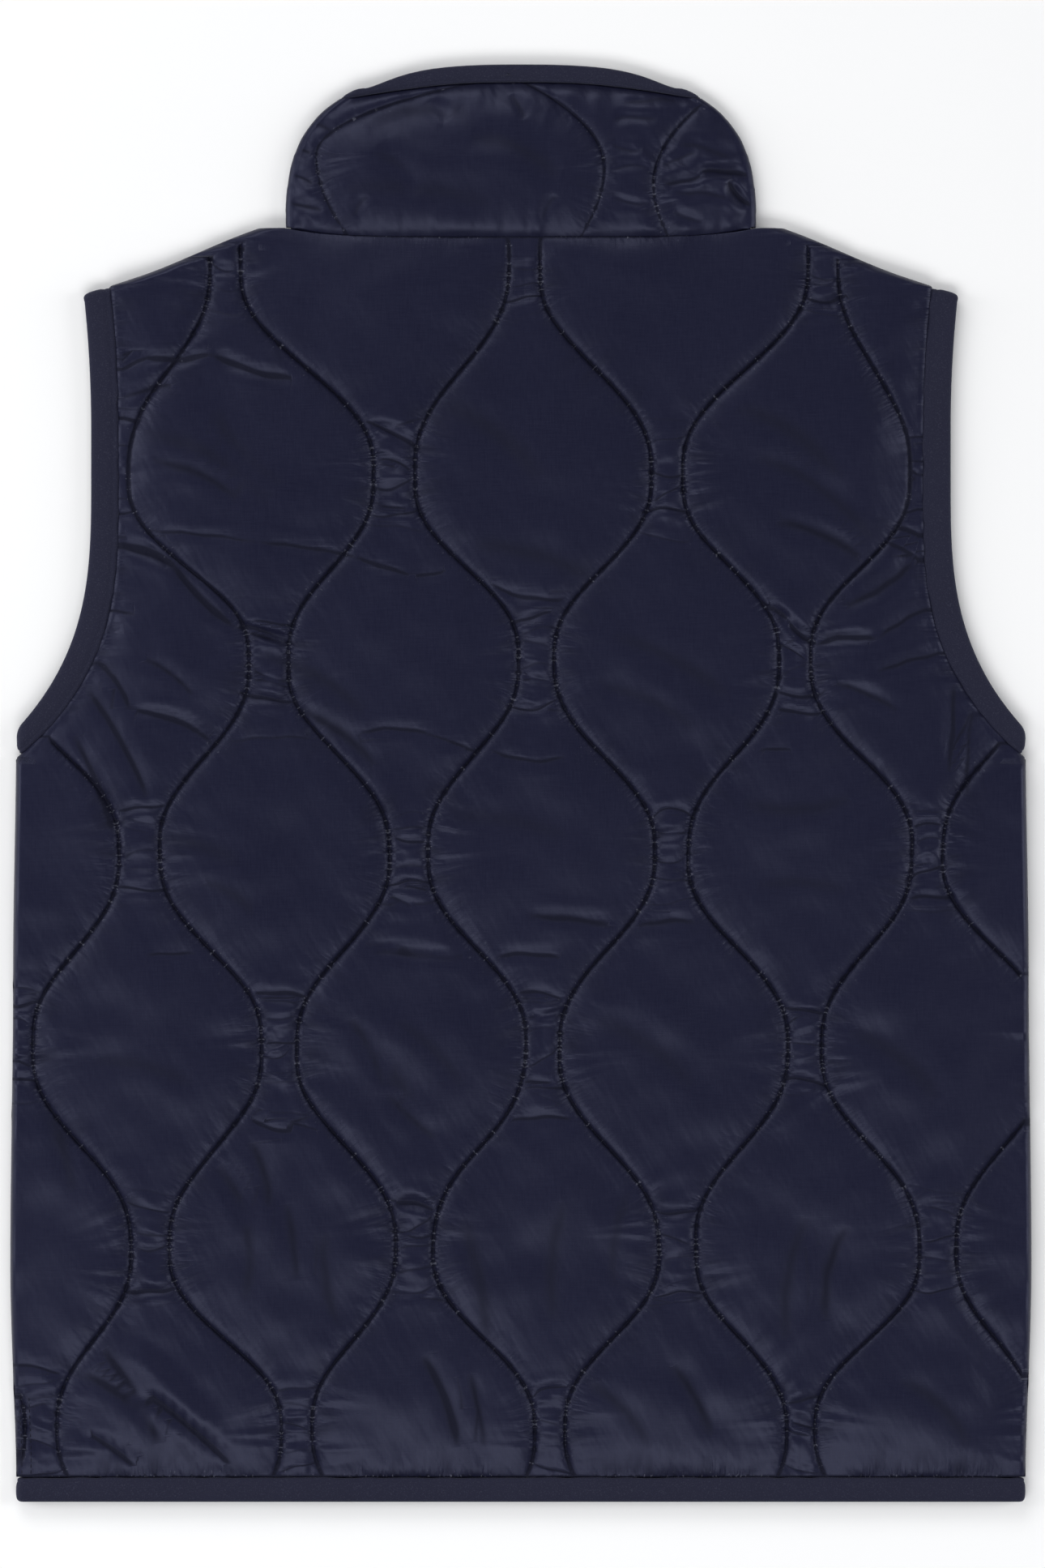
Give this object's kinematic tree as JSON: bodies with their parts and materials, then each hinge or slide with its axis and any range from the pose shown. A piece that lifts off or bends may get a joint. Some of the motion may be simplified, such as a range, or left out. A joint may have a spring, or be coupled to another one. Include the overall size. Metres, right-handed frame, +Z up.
{
  "type": "quilted vest",
  "caption": "Child's padded vest with ogee quilting, stand collar, bound edges and front zip, laid flat on its front, back upwards.",
  "frame": {"origin": "middle of the garment's box, on the surface that it lies on", "axes": "+X to the right of the back as seen from above, +Y from the hem to the collar, +Z up from the surface"},
  "size_m": [0.4038, 0.568, 0.0131],
  "materials": {
    "quilted_cloth": "glossy fine-weave polyester, dark navy, padded and quilted",
    "binding": "matt elastic fold-over tape, navy with a fine fleck",
    "zip_tape": "matt woven zip tape with its moulded chain, dark navy",
    "zip_metal": "satin dark lacquer"
  },
  "bodies": {
    "vest": {"back_panel": "quilted_cloth", "front_left": "quilted_cloth", "front_right": "quilted_cloth", "collar": "quilted_cloth", "collar_binding": "binding", "armhole_binding_left": "binding", "armhole_binding_right": "binding", "hem_binding": "binding", "zip_tape_left": "zip_tape", "zip_tape_right": "zip_tape", "zip_box": "zip_metal", "zip_slider": "zip_metal"},
    "pull_tab": {"zip_pull": "zip_metal"}
  },
  "joints": [
    {"name": "pull_tab_swing", "type": "hinge", "parent": "vest", "child": "pull_tab", "pos_m": [0, 0.211, 0.0013], "axis": [1, 0, 0], "range_deg": [0, 165]}
  ]
}
